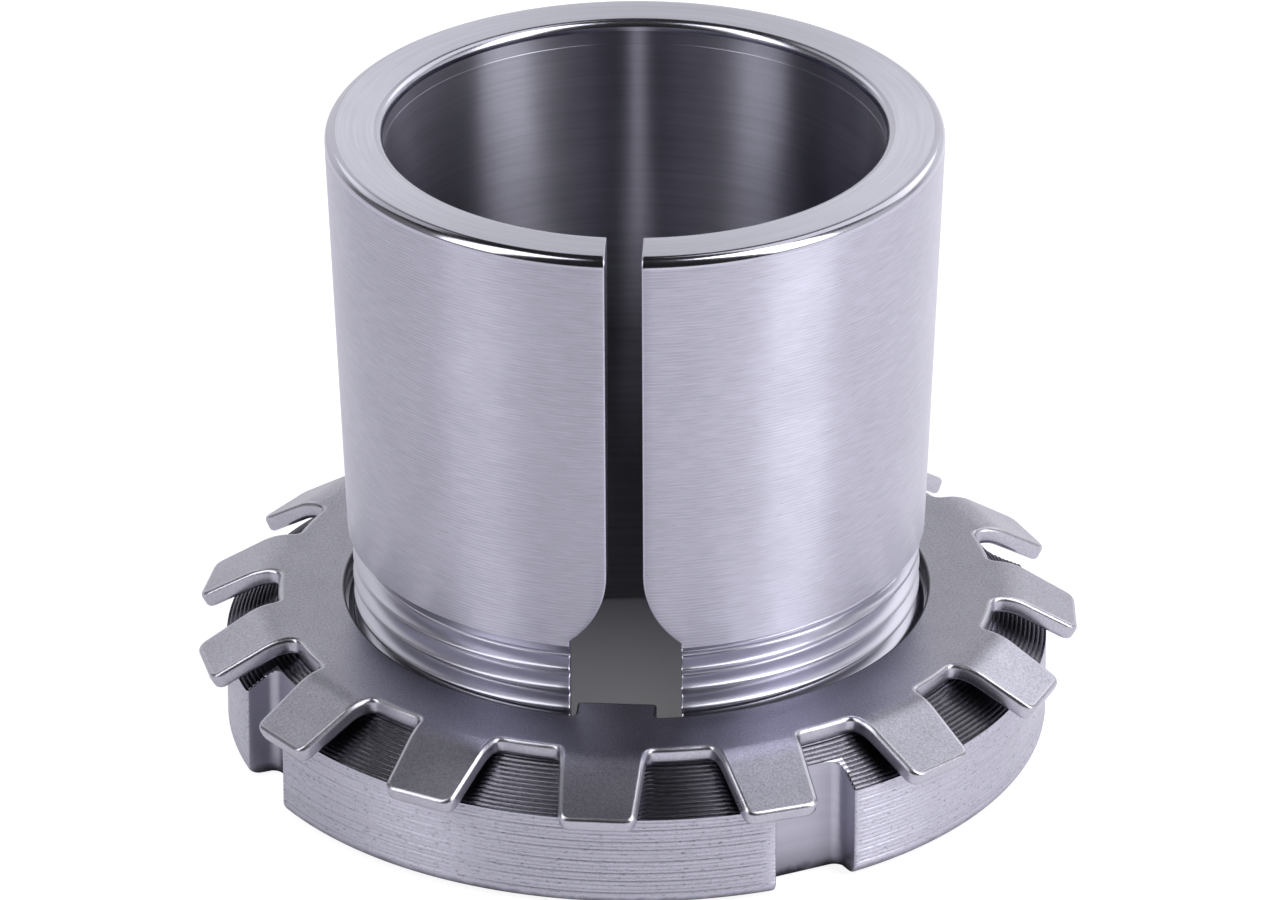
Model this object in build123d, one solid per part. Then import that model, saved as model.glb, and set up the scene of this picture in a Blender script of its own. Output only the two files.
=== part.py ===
from build123d import *

import os
from math import acos, asin, cos, degrees, radians, sin, sqrt, tan

# Bearing adapter sleeve with its lock washer and lock nut.
# The split taper sleeve slides over a plain shaft and a taper-bore bearing sits on its cone. The nut
# pulls the cone into the bearing until the sleeve closes on the shaft. The washer's tongue runs in
# the sleeve's slot, and any one of its tabs can be bent down into a nut slot to hold the setting.
#
# Frame: millimetres, +Z up along the bore. The origin is the centre of the bore at the sleeve's
# threaded end, the slit faces -Y, and the large end of the cone is up.

# Sleeve
bore_diameter = 35.0
sleeve_length = 46.0
cone_taper = 1 / 12
cone_step = 0.33
large_end_round = 0.75
large_end_bore_round = 0.6
thread_end_bore_chamfer = 0.6
thread_end_chamfer = 0.7

# Thread between sleeve and nut, on each of them a plain cylinder at the thread's pitch line
thread_wall = 2.5
thread_length = 15.6
thread_pitch = 1.5
thread_play = 0.05

# Slit, and the wider slot through the threaded end, joined by a rounded flare
slit_width = 2.5
slot_width = 7.7
flare_radius = 6.9
flare_foot_step = 0.35

# Lock nut
nut_rim = 9.0
nut_width = 9.0
nut_lift = 0.2
nut_chamfer_width = 4.0
nut_chamfer_angle = 30.0
nut_edge_round = 0.9
nut_bore_chamfer = 0.8
nut_slot_count = 4
nut_slot_width = 6.0
nut_slot_depth = 2.5
nut_slot_corner = 0.8
nut_slot_angle = 27.6

# Lock washer
washer_thickness = 1.25
washer_play = 0.6
tab_count = 15
gap_beyond_face = 0.3
gap_corner = 0.6
tab_length = 6.3
tab_width = 6.0
tab_tip_width = 5.4
tab_tip_corner = 0.6
tab_bend_angle = 30.0
tab_bend_radius = 1.2
tongue_shaft_gap = 0.9
tongue_left_gap = 0.45
tongue_right_gap = 1.75
tongue_corner = 0.2
tongue_offset_angle = 1.0

# Cutters run this far past what they cut
overcut = 1.0

# Sizes that follow from the ones above
bore_radius = bore_diameter / 2
crest_radius = bore_radius + thread_wall
pitch_radius = crest_radius - 3 * sqrt(3) / 16 * thread_pitch
sleeve_thread_radius = pitch_radius - thread_play / 2
nut_thread_radius = pitch_radius + thread_play / 2
nut_radius = crest_radius + nut_rim
nut_face_radius = nut_radius - nut_chamfer_width
washer_bore_radius = crest_radius + washer_play
gap_radius = nut_face_radius + gap_beyond_face
tab_bend_start = gap_radius + gap_corner
tongue_tip_radius = bore_radius + tongue_shaft_gap
tongue_width = slot_width - tongue_left_gap - tongue_right_gap


def cone_radius(height):
    """Outer radius of the cone at a height above the threaded end."""
    return crest_radius + cone_step + (height - thread_length) * cone_taper / 2


def revolved(profile_points):
    """Solid of revolution about Z from points given as (radius, height)."""
    profile = make_face(Polyline(*profile_points, close=True))
    return revolve(Plane.XZ * profile, Axis.Z)


def circles_at(solid, height_rank):
    """Circular edges in one height group, from the innermost to the outermost."""
    return solid.edges().filter_by(GeomType.CIRCLE).group_by(Axis.Z)[height_rank].sort_by(SortBy.RADIUS)


def sleeve_blank():
    """Turned blank: bore, threaded end, bevel up to the cone, cone and rounded large end."""
    bevel = cone_radius(thread_length) - sleeve_thread_radius
    points = [
        (bore_radius + thread_end_bore_chamfer, 0),
        (sleeve_thread_radius - thread_end_chamfer, 0),
        (sleeve_thread_radius, thread_end_chamfer),
        (sleeve_thread_radius, thread_length - bevel),
        (cone_radius(thread_length), thread_length),
        (cone_radius(sleeve_length), sleeve_length),
        (bore_radius, sleeve_length),
        (bore_radius, thread_end_bore_chamfer),
    ]
    blank = fillet(circles_at(revolved(points), -1)[-1], large_end_round)
    return fillet(circles_at(blank, -1)[0], large_end_bore_round)


def slit_outline():
    """Front view of the cut: slit, flare and slot, one half drawn and mirrored."""
    slit_half = slit_width / 2
    slot_half = slot_width / 2
    turn = acos(1 - (slot_half - slit_half) / flare_radius)
    foot = thread_length + flare_foot_step
    top = foot + flare_radius * sin(turn)
    middle = (slit_half + flare_radius * (1 - cos(turn / 2)), top - flare_radius * sin(turn / 2))
    above = sleeve_length + overcut
    half = Polyline((0, above), (slit_half, above), (slit_half, top))
    half += ThreePointArc((slit_half, top), middle, (slot_half, foot))
    half += Polyline((slot_half, foot), (slot_half, -overcut), (0, -overcut))
    return make_face(half + mirror(half, Plane.YZ))


def adapter_sleeve():
    """The split taper sleeve, one piece."""
    return sleeve_blank() - extrude(Plane.XZ * slit_outline(), 2 * cone_radius(sleeve_length))


def nut_slot():
    """Cutter for one spanner slot, facing +X, with rounded corners at its floor."""
    length = nut_slot_depth + overcut
    floor_radius = nut_radius - nut_slot_depth
    section = Pos(floor_radius + length / 2, 0) * Rectangle(length, nut_slot_width)
    section = fillet(section.vertices().group_by(Axis.X)[0], nut_slot_corner)
    return extrude(section, nut_width)


def lock_nut():
    """The slotted round nut, with its chamfered face up against the washer."""
    chamfer_height = nut_chamfer_width * tan(radians(nut_chamfer_angle))
    points = [
        (nut_thread_radius + nut_bore_chamfer, 0),
        (nut_radius, 0),
        (nut_radius, nut_width - chamfer_height),
        (nut_face_radius, nut_width),
        (nut_thread_radius + nut_bore_chamfer, nut_width),
        (nut_thread_radius, nut_width - nut_bore_chamfer),
        (nut_thread_radius, nut_bore_chamfer),
    ]
    nut = revolved(points)
    nut = fillet(circles_at(nut, 0)[-1], nut_edge_round)
    for index in range(nut_slot_count):
        nut -= Rot(0, 0, nut_slot_angle - 90 + index * 360 / nut_slot_count) * nut_slot()
    return Pos(0, 0, nut_lift) * nut


def tongue_plan():
    """Plan of the tongue, facing +X, from its tip out into the ring."""
    length = washer_bore_radius - tongue_tip_radius + overcut
    plan = Pos(tongue_tip_radius + length / 2, 0) * Rectangle(length, tongue_width)
    return fillet(plan.vertices().group_by(Axis.X)[0], tongue_corner)


def washer_ring():
    """Flat ring with the roots of the tabs, rounded gap corners and the tongue in its bore."""
    plan = Sketch() + Circle(gap_radius)
    root = Pos(tab_bend_start / 2, 0) * Rectangle(tab_bend_start, tab_width)
    for index in range(tab_count):
        plan += Rot(0, 0, index * 360 / tab_count) * root
    gap_corners = [corner for corner in plan.vertices() if Vector(corner).length < tab_bend_start]
    plan = fillet(gap_corners, gap_corner) - Circle(washer_bore_radius)
    plan += Rot(0, 0, tongue_offset_angle) * tongue_plan()
    return extrude(plan, washer_thickness)


def washer_tab():
    """Bent part of one tab, facing +X: the bend, then the flat end with rounded corners."""
    middle = washer_thickness / 2
    bend_axis = Axis((tab_bend_start, 0, -tab_bend_radius), (0, 1, 0))
    root_plane = Plane((tab_bend_start, 0, middle), x_dir=(0, 1, 0), z_dir=(1, 0, 0))
    bend = revolve(root_plane * Rectangle(tab_width, washer_thickness), bend_axis, tab_bend_angle)
    bend_length = (tab_bend_radius + middle) * radians(tab_bend_angle)
    length = tab_length - gap_corner - bend_length
    half = tab_width / 2
    tip_half = tab_tip_width / 2
    outline = make_face(Polyline((0, -half), (length, -tip_half), (length, tip_half), (0, half), close=True))
    outline = fillet(outline.vertices().group_by(Axis.X)[-1], tab_tip_corner)
    plate = Pos(tab_bend_start, 0) * extrude(outline, washer_thickness)
    return bend + plate.rotate(bend_axis, tab_bend_angle)


def tongue_turn():
    """Angle from the middle of the slot to the tongue, which lies near the slot's left wall."""
    side_step = (tongue_right_gap - tongue_left_gap) / 2
    return -degrees(asin(side_step / sleeve_thread_radius))


def lock_washer():
    """The stamped washer: ring, tongue and bent tabs, one piece."""
    washer = washer_ring()
    tab = washer_tab()
    for index in range(tab_count):
        washer += Rot(0, 0, index * 360 / tab_count) * tab
    return Pos(0, 0, nut_lift + nut_width) * Rot(0, 0, tongue_turn() - tongue_offset_angle - 90) * washer


def main():
    os.makedirs("parts", exist_ok=True)
    export_step(adapter_sleeve(), "parts/adapter_sleeve.step")
    export_step(lock_nut(), "parts/lock_nut.step")
    export_step(lock_washer(), "parts/lock_washer.step")


main()
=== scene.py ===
import math

import bmesh
import bpy
import numpy as np
from mathutils import Matrix, Vector

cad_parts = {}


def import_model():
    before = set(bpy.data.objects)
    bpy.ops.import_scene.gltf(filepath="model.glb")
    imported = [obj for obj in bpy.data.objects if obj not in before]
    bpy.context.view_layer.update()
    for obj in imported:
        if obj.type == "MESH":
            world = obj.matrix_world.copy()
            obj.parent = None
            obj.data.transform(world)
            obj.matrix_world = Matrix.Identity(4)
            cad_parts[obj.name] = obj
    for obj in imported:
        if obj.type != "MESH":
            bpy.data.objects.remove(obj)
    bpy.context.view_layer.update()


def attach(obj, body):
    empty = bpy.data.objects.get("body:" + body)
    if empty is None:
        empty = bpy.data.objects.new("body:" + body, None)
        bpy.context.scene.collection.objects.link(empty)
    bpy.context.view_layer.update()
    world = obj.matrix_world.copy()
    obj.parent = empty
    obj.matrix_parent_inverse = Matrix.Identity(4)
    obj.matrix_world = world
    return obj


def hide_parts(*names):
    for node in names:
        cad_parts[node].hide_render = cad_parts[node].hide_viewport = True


# Bearing adapter sleeve with its lock washer and lock nut: visual pieces, materials, light and camera.
#
# Lengths are millimetres in the frame's own axes, and a mesh is scaled to metres when it is built.
# Azimuths are counted from the slit, which faces -Y, anticlockwise seen from above.

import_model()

MM = 0.001
WELD_DISTANCE = 0.0005

# Sleeve
BORE_RADIUS = 17.5
SLEEVE_LENGTH = 46.0
SHOULDER_HEIGHT = 15.6
SHOULDER_RADIUS = 20.33
CONE_TAPER = 1 / 12
LARGE_END_ROUND = 0.75
BORE_ROUND = 0.6
BORE_CHAMFER = 0.6
LEAD_IN_LENGTH = 1.1
LEAD_IN_STEP = 0.015
LEAD_IN_RAMP = 0.02
SLIT_WIDTH = 2.5
SLOT_WIDTH = 7.7
FLARE_RADIUS = 6.9
FLARE_FOOT = 15.95
SLIT_EDGE_ROUND = 0.12

# Thread M40 x 1.5, which runs out between two azimuths, and the relief under the cone
THREAD_PITCH = 1.5
THREAD_CREST_RADIUS = 20.0
THREAD_CREST_FLAT = 0.19
THREAD_DEPTH = 0.92
THREAD_FLANK_ANGLE = 30
THREAD_CORNER_SOFTNESS = 0.07
THREAD_CREST_HEIGHT = 13.6
THREAD_END_RADIUS = 18.788
THREAD_RUN_OUT = (20, 120)
RELIEF_BEVEL_SLOPE = 0.75
RELIEF_FOOT = 14.15
RELIEF_WALL_SLOPE = 2.0
NUT_THREAD_PLAY = 0.06
NUT_THREAD_RADIUS = 19.19

# Nut
NUT_RADIUS = 29.0
NUT_FACE_RADIUS = 25.0
NUT_FOOT = 0.2
NUT_TOP = 9.2
NUT_CHAMFER_FOOT = 6.891
NUT_EDGE_ROUND = 0.9
NUT_BORE_EDGE = 20.338
SPANNER_SLOT_COUNT = 4
SPANNER_SLOT_WIDTH = 6.0
SPANNER_SLOT_FLOOR = 26.5
SPANNER_SLOT_CORNER = 0.8
SPANNER_SLOT_AZIMUTH = 27.6
SPANNER_SLOT_EDGE_ROUND = 0.15
RIM_GROOVE_PITCH = 0.3
RIM_GROOVE_DEPTH = 0.036
CHAMFER_GROOVE_PITCH = 0.355
CHAMFER_GROOVE_DEPTH = 0.05
GROOVE_UNEVENNESS = 0.05
GROOVE_BEAT = 2.4

# Washer. Its tabs are bent a little less at the slit's side than behind.
WASHER_FOOT = 9.2
WASHER_THICKNESS = 1.25
WASHER_BORE_RADIUS = 20.6
WASHER_EDGE_ROUND = 0.35
WASHER_BORE_ROUND = 0.12
WASHER_EDGE_FLAT = 0.04
TAB_COUNT = 15
TAB_AZIMUTH = -2.911
TAB_WIDTH = 6.0
TAB_TIP_WIDTH = 5.4
TAB_TIP_CORNER = 0.8
TAB_TIP_REACH = 31.6
TAB_BEND_START = 25.41
TAB_BEND_RADIUS = 3.0
TAB_BEND_ANGLE = 30.5
TAB_BEND_SPREAD = 3.5
GAP_RADIUS = 25.3
GAP_CORNER = 0.6
TONGUE_AZIMUTH = -1.911
TONGUE_WIDTH = 5.5
TONGUE_TIP_RADIUS = 18.4
TONGUE_TIP_CORNER = 0.3
TONGUE_ROOT_CORNER = 0.3

# Camera, fitted to the photograph's 1280 x 900 pixels
IMAGE_WIDTH = 1280
CAMERA_DISTANCE = 867.6
CAMERA_ELEVATION = 26.47
CAMERA_AZIMUTH = 2.25
CAMERA_ROLL = 0.18
CAMERA_AIM_HEIGHT = 22.2
FOCAL_PIXELS = 12352
AIM_RIGHT_PIXELS = 4.1
AIM_DOWN_PIXELS = 16.8
SENSOR_WIDTH = 36.0

# Floor, where 1 is white. Its tones change between two distances from the axis, and paint shade: a dim glow
# under the bore, and in reflections a painted shadow round the nut and painted shade on the left.
FLOOR_RADIUS = 1600
FLOOR_SEGMENTS = 96
FLOOR_TONE = (0.3, 0.285, 0.335)
FLOOR_SEEN = 0.9
FLOOR_SEEN_FROM = (18.5, 27)
# Painted shade on the floor inside the bore: a dim glow to the camera in place of white
FLOOR_SHADED_GLOW_IN_BORE = 0.095
FLOOR_SHADED_GLOW_AT_WALL = 0.01
FLOOR_SHADED_IN_BORE = (2.0, 17.5)
FLOOR_MIRRORED = 0.87
# Painted shade in the floor's reflections: darker on the left, darker round the nut, nearly black just
# under its edge
FLOOR_LEFT_SHADE = 0.73
FLOOR_LEFT_SHADE_REACH = 30
FLOOR_SHADE = 0.92
FLOOR_SHADE_REACH = 75
FLOOR_SHADE_UNDER_NUT = 0.1
FLOOR_SHADE_UNDER_NUT_REACH = (27, 31)

# World, where 1 is white. Each edge is the range of the direction's X, Y or Z in which a light changes.
WORLD_DARK = 0.02
WORLD_BEHIND = 1.0
WORLD_BEHIND_LEFT = 0.85
WORLD_LEFT = 0.2
WORLD_RIGHT = 0.75
WORLD_BEHIND_EDGE = (0.3, 0.75)
WORLD_BEHIND_TOP = (0.5, 0.7)
WORLD_BEHIND_SIDES = 0.6
WORLD_SIDE_EDGE = (0.75, 0.95)

# Lamps: height they are aimed at, and their radiance, where 1 is white
LAMP_AIM_HEIGHT = 30
LAMP_LEFT = 2.9
LAMP_RIGHT = 4.8
LAMP_LEFT_BACK = 0.65
LAMP_RIGHT_BACK = 1.2


class Surface:
    """Collects patches of points in millimetres and joins them into one closed mesh."""

    def __init__(self):
        self.points = []
        self.faces = []
        self.materials = []
        self.count = 0

    def grid(self, rows, materials, closed=False):
        """Quads between rows of points. Closed joins each row's end to its start."""
        rows = np.asarray(rows, float)
        row_count, column_count = rows.shape[:2]
        index = self.count + np.arange(row_count * column_count).reshape(row_count, column_count)
        self.points.append(rows.reshape(-1, 3))
        self.count += index.size
        if closed:
            index = np.concatenate([index, index[:, :1]], axis=1)
        quads = np.stack([index[:-1, :-1], index[:-1, 1:], index[1:, 1:], index[1:, :-1]], -1)
        self.faces += quads.reshape(-1, 4).tolist()
        self.materials += np.broadcast_to(materials, quads.shape[:2]).ravel().tolist()

    def mesh(self, name, materials, sharp_angle):
        """The welded mesh in metres, with a hard line where faces meet at more than an angle in degrees."""
        mesh = bpy.data.meshes.new(name)
        mesh.from_pydata((np.concatenate(self.points) * MM).tolist(), [], self.faces)
        for material in materials:
            mesh.materials.append(material)
        mesh.polygons.foreach_set("material_index", self.materials)
        weld(mesh)
        mesh.shade_smooth()
        mesh.set_sharp_from_angle(angle=math.radians(sharp_angle))
        return mesh


def weld(mesh):
    """Joins points that coincide and turns all faces outwards."""
    distance = WELD_DISTANCE * MM
    work = bmesh.new()
    work.from_mesh(mesh)
    bmesh.ops.remove_doubles(work, verts=work.verts, dist=distance)
    bmesh.ops.dissolve_degenerate(work, edges=work.edges, dist=distance)
    bmesh.ops.recalc_face_normals(work, faces=work.faces)
    work.to_mesh(mesh)
    work.free()


def add_piece(name, mesh, body, node):
    """Adds an object that stands for a CAD node and moves with its body."""
    piece = bpy.data.objects.new(name, mesh)
    bpy.context.scene.collection.objects.link(piece)
    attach(piece, body)
    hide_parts(node)


def arc(centre, radius, start, end, count):
    """Plan points along an arc, between two angles in radians."""
    angles = np.linspace(start, end, count)
    return np.stack([centre[0] + radius * np.cos(angles), centre[1] + radius * np.sin(angles)], -1)


def between(start, end, steps):
    """Points inside a line, without its ends."""
    share = np.linspace(0, 1, steps + 1)[1:-1, None]
    return start * (1 - share) + end * share


def blended(first, last, shares):
    """Rows of points between two rows."""
    shares = np.asarray(shares)[:, None, None]
    return first * (1 - shares) + last * shares


def polar(radii, azimuths):
    """Plan points from radii and azimuths in radians."""
    return np.stack([radii * np.sin(azimuths), -radii * np.cos(azimuths)], -1)


def lifted(plan, heights):
    """Plan points with their heights."""
    heights = np.broadcast_to(np.asarray(heights, float), plan.shape[:-1])
    return np.concatenate([plan, heights[..., None]], axis=-1)


def turned(points, azimuth):
    """Points drawn facing +X, turned about the axis to face an azimuth in degrees."""
    angle = math.radians(azimuth - 90)
    cosine, sine = math.cos(angle), math.sin(angle)
    turn = np.array([[cosine, sine, 0], [-sine, cosine, 0], [0, 0, 1]])
    size = points.shape[-1]
    return points @ turn[:size, :size]


def soft_limit(values, low, high, softness):
    """Values held between two limits, with rounded corners."""
    values = low + softness * np.logaddexp(0, (values - low) / softness)
    return high - softness * np.logaddexp(0, (high - values) / softness)


# Thread

THREAD_ROW_PHASES = (0.0, 0.045, 0.08, 0.13, 0.24, 0.35, 0.405, 0.45)


def thread_phase(azimuths, heights):
    """Turns above the crest that passes the slit at the crest height. Azimuths are in radians."""
    return (heights - THREAD_CREST_HEIGHT) / THREAD_PITCH - azimuths / (2 * math.pi)


def thread_depth(phase):
    """Depth of the thread below its crests."""
    from_crest = np.abs(phase - np.round(phase)) * THREAD_PITCH
    flank = (from_crest - THREAD_CREST_FLAT / 2) / math.tan(math.radians(THREAD_FLANK_ANGLE))
    return np.maximum(soft_limit(flank, 0.0, THREAD_DEPTH, THREAD_CORNER_SOFTNESS), 0)


def thread_heights(start, end):
    """Mid heights of rows that follow the thread, at the same phases in every turn."""
    phases = list(THREAD_ROW_PHASES) + [1 - phase for phase in THREAD_ROW_PHASES[:0:-1]]
    first_turn = math.floor((start - THREAD_CREST_HEIGHT) / THREAD_PITCH) - 1
    heights = []
    for turn in range(first_turn, first_turn + math.ceil((end - start) / THREAD_PITCH) + 3):
        heights += [THREAD_CREST_HEIGHT + (turn + phase + 0.5) * THREAD_PITCH for phase in phases]
    return [height for height in heights if start < height < end]


# Sleeve

CONE, THREADED, BORE, SLIT, END_FACES, OUTER_ROUND, INNER_ROUND = range(7)
SLEEVE_COLUMNS = 168
CORNER_POINTS = 4
WALL_STEPS = 4
END_ROWS = 20
RELIEF_ROWS = 46
FLARE_ROWS = 16
CONE_ROWS = 7
ROUND_ROWS = 17
ROW_GAP = 0.01
LEAD_IN_MARGIN = 0.3
HEIGHT_TOLERANCE = 0.001
SLOT_SHARE = math.asin(SLOT_WIDTH / 2 / THREAD_CREST_RADIUS) / (2 * math.pi)
BOTTOM_FADE = 0.9
TOP_FADE_START = 13.35


def threaded_radius(azimuths, heights):
    """Outer radius below the cone: end chamfer, thread, and the relief with its bevel."""
    bevel = SHOULDER_RADIUS - (SHOULDER_HEIGHT - heights) * RELIEF_BEVEL_SLOPE
    relief_wall = THREAD_CREST_RADIUS - np.clip(heights - RELIEF_FOOT, 0, None) * RELIEF_WALL_SLOPE
    blank = np.maximum(bevel, relief_wall)
    phase = thread_phase(azimuths, heights)
    start, end = np.radians(THREAD_RUN_OUT)
    cut = np.where(phase < 0, 1.0, np.clip((end - azimuths) / (end - start), 0, 1))
    clearance = SHOULDER_RADIUS - THREAD_CREST_RADIUS
    thread = SHOULDER_RADIUS - (clearance + thread_depth(phase)) * cut
    return np.minimum(np.minimum(blank, thread), THREAD_END_RADIUS + heights)


def outer_radius(azimuths, heights):
    """Outer radius of the sleeve."""
    round_foot = SLEEVE_LENGTH - LARGE_END_ROUND
    above = np.clip(heights - round_foot, 0, LARGE_END_ROUND)
    drop = LARGE_END_ROUND - np.sqrt(LARGE_END_ROUND ** 2 - above ** 2)
    cone = SHOULDER_RADIUS + (np.minimum(heights, round_foot) - SHOULDER_HEIGHT) * CONE_TAPER / 2 - drop
    return np.where(heights < SHOULDER_HEIGHT, threaded_radius(azimuths, heights), cone)


def inner_radius(azimuths, heights):
    """Radius of the bore: end chamfer, bore, lead-in and rounded edge."""
    chamfer = np.clip(BORE_CHAMFER - heights, 0, None)
    round_foot = SLEEVE_LENGTH - BORE_ROUND
    above = np.clip(heights - round_foot, 0, BORE_ROUND)
    edge = BORE_ROUND - np.sqrt(BORE_ROUND ** 2 - above ** 2)
    lead_in_heights = [-LEAD_IN_LENGTH - LEAD_IN_RAMP, -LEAD_IN_LENGTH, 0, BORE_ROUND]
    lead_in = np.interp(heights - round_foot, lead_in_heights, [0, LEAD_IN_STEP, LEAD_IN_STEP, 0])
    return BORE_RADIUS + chamfer + edge + lead_in + 0 * azimuths


def slit_half_width(height):
    """Half the width of the slit, its flare or the slot, eased at both ends of the sleeve."""
    slit = SLIT_WIDTH / 2
    slot = SLOT_WIDTH / 2
    turn = math.acos(1 - (slot - slit) / FLARE_RADIUS)
    below_flare_top = FLARE_FOOT + FLARE_RADIUS * math.sin(turn) - height
    if height < FLARE_FOOT:
        half = slot
    elif below_flare_top > 0:
        half = slit + FLARE_RADIUS - math.sqrt(FLARE_RADIUS ** 2 - below_flare_top ** 2)
    else:
        half = slit
    to_full = max(SLIT_EDGE_ROUND - min(height, SLEEVE_LENGTH - height), 0)
    return half + SLIT_EDGE_ROUND - math.sqrt(SLIT_EDGE_ROUND ** 2 - to_full ** 2)


def slit_corner(half_width, radius, side):
    """Rounded corner from the slit's right wall to the outer (side 1) or inner (side -1) surface."""
    x = half_width + SLIT_EDGE_ROUND
    y = -math.sqrt((radius - side * SLIT_EDGE_ROUND) ** 2 - x ** 2)
    return arc((x, y), SLIT_EDGE_ROUND, -side * math.pi, math.atan2(side * y, side * x), CORNER_POINTS)


def half_row(low, high, radius_at, side):
    """Section of the outer or inner surface, from the slit's right wall at the low height to its left."""
    corners = []
    for height, azimuth in ((low, 2 * math.pi * SLOT_SHARE), (high, 2 * math.pi * (1 - SLOT_SHARE))):
        radius = float(radius_at(np.array(azimuth), np.array(height)))
        corners.append(slit_corner(slit_half_width(height), radius, side))
    right, left = corners[0], corners[1][::-1] * [-1, 1]
    share = np.linspace(0, 1, SLEEVE_COLUMNS + 1)[1:-1]
    first = math.atan2(right[-1][0], -right[-1][1])
    last = 2 * math.pi + math.atan2(left[0][0], -left[0][1])
    azimuths = first + share * (last - first)
    heights = low + share * (high - low)
    band = lifted(polar(radius_at(azimuths, heights), azimuths), heights)
    return np.concatenate([lifted(right, low), band, lifted(left, high)])


def sleeve_row(height, climb):
    """Outer and inner half of the section at a height, which climbs by a share of a pitch on its way."""
    span = climb * THREAD_PITCH * (1 - 2 * SLOT_SHARE)
    low, high = height - span / 2, height + span / 2
    return half_row(low, high, outer_radius, 1), half_row(low, high, inner_radius, -1)


def sleeve_row_heights():
    """Mid height of each row, and the share of a pitch that it climbs to stay with the thread."""
    flare_turn = math.acos(1 - (SLOT_WIDTH - SLIT_WIDTH) / 2 / FLARE_RADIUS)
    lead_in = SLEEVE_LENGTH - BORE_ROUND - LEAD_IN_LENGTH
    round_foot = SLEEVE_LENGTH - LARGE_END_ROUND
    fade = SHOULDER_HEIGHT - TOP_FADE_START
    rows = [(height, height / BOTTOM_FADE) for height in np.linspace(0, BOTTOM_FADE, END_ROWS)]
    rows += [(height, 1.0) for height in thread_heights(BOTTOM_FADE + ROW_GAP, TOP_FADE_START - ROW_GAP)]
    rows += [(height, (SHOULDER_HEIGHT - height) / fade)
             for height in np.linspace(TOP_FADE_START, SHOULDER_HEIGHT, RELIEF_ROWS)]
    rows += [(FLARE_FOOT + FLARE_RADIUS * math.sin(angle), 0)
             for angle in np.linspace(0, flare_turn, FLARE_ROWS)]
    rows += [(height, 0) for height in np.linspace(rows[-1][0], lead_in - LEAD_IN_MARGIN, CONE_ROWS)[1:]]
    rows += [(lead_in - LEAD_IN_RAMP, 0), (lead_in, 0), (lead_in + LEAD_IN_MARGIN / 2, 0)]
    rows += [(round_foot + LARGE_END_ROUND * math.sin(angle), 0)
             for angle in np.linspace(0, math.pi / 2, ROUND_ROWS)]
    return rows


def sleeve_surface():
    """The split sleeve: rows round its outside, slit and bore, and two end faces."""
    surface = Surface()
    edge = CORNER_POINTS - 1
    rows = []
    materials = []
    for height, climb in sleeve_row_heights():
        outer, inner = sleeve_row(height, climb)
        left_wall = between(outer[-1], inner[-1], WALL_STEPS)
        right_wall = between(inner[0], outer[0], WALL_STEPS)
        rows.append(np.concatenate([outer, left_wall, inner[::-1], right_wall]))
        outside, inside = CONE, BORE
        if height <= SHOULDER_HEIGHT - HEIGHT_TOLERANCE:
            outside = THREADED
        elif height > SLEEVE_LENGTH - LARGE_END_ROUND - HEIGHT_TOLERANCE:
            outside, inside = OUTER_ROUND, INNER_ROUND
        half = len(outer) - 1 - 2 * edge
        left = [SLIT] * (WALL_STEPS + 2 * edge)
        right = [SLIT] * (WALL_STEPS + edge)
        materials.append([SLIT] * edge + [outside] * half + left + [inside] * half + right)
    surface.grid(rows, materials[:-1], closed=True)
    for height in (0.0, SLEEVE_LENGTH):
        outer, inner = sleeve_row(height, 0)
        surface.grid(blended(outer, inner, np.linspace(0, 1, WALL_STEPS + 1)), END_FACES)
    return surface


# Nut

RIM, CHAMFER, NOTCHES, NUT_FACES, NUT_THREAD, LOWER_EDGE = range(6)
RIM_COLUMNS = 36
NOTCH_SPREAD = 0.02
NOTCH_FLOOR_STEPS = 3
NOTCH_CORNER_POINTS = 6
NOTCH_WALL_STEPS = 4
NOTCH_WALL_MIN = 0.05
NOTCH_EDGE_STEPS = 3
GROOVE_STEPS = 4
LOWER_EDGE_STEPS = 8
NUT_FACE_STEPS = 4


def half_notch(radius):
    """Half of a spanner slot drawn facing +X, from the middle of its floor to the rim of a given radius."""
    half = SPANNER_SLOT_WIDTH / 2
    corner = SPANNER_SLOT_CORNER
    centre = (SPANNER_SLOT_FLOOR + corner, half - corner)
    across = np.linspace(0, half - corner, NOTCH_FLOOR_STEPS + 1)[:-1]
    floor = np.stack([np.full(len(across), SPANNER_SLOT_FLOOR), across], -1)
    floor = np.concatenate([floor, arc(centre, corner, math.pi, math.pi / 2, NOTCH_CORNER_POINTS)])
    edge = SPANNER_SLOT_EDGE_ROUND
    edge_x = math.sqrt((radius - edge) ** 2 - (half + edge) ** 2)
    if edge_x > centre[0] + NOTCH_WALL_MIN:
        wall = between(floor[-1], np.array([edge_x, half]), NOTCH_WALL_STEPS)
        edge_end = math.atan2(half + edge, edge_x)
        round_edge = arc((edge_x, half + edge), edge, -math.pi / 2, edge_end, NOTCH_EDGE_STEPS + 1)
        return np.concatenate([floor, wall, round_edge])
    # Where the nut is narrower than that, the outline is the smaller of floor and turned radius
    angles = np.arctan2(floor[:, 1], floor[:, 0])
    radii = np.minimum(np.hypot(floor[:, 0], floor[:, 1]), radius)
    rest = angles[-1] + np.linspace(0, NOTCH_SPREAD, NOTCH_WALL_STEPS + NOTCH_EDGE_STEPS + 1)[1:]
    angles = np.concatenate([angles, rest])
    radii = np.concatenate([radii, np.full(len(rest), radius)])
    return np.stack([radii * np.cos(angles), radii * np.sin(angles)], -1)


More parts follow.
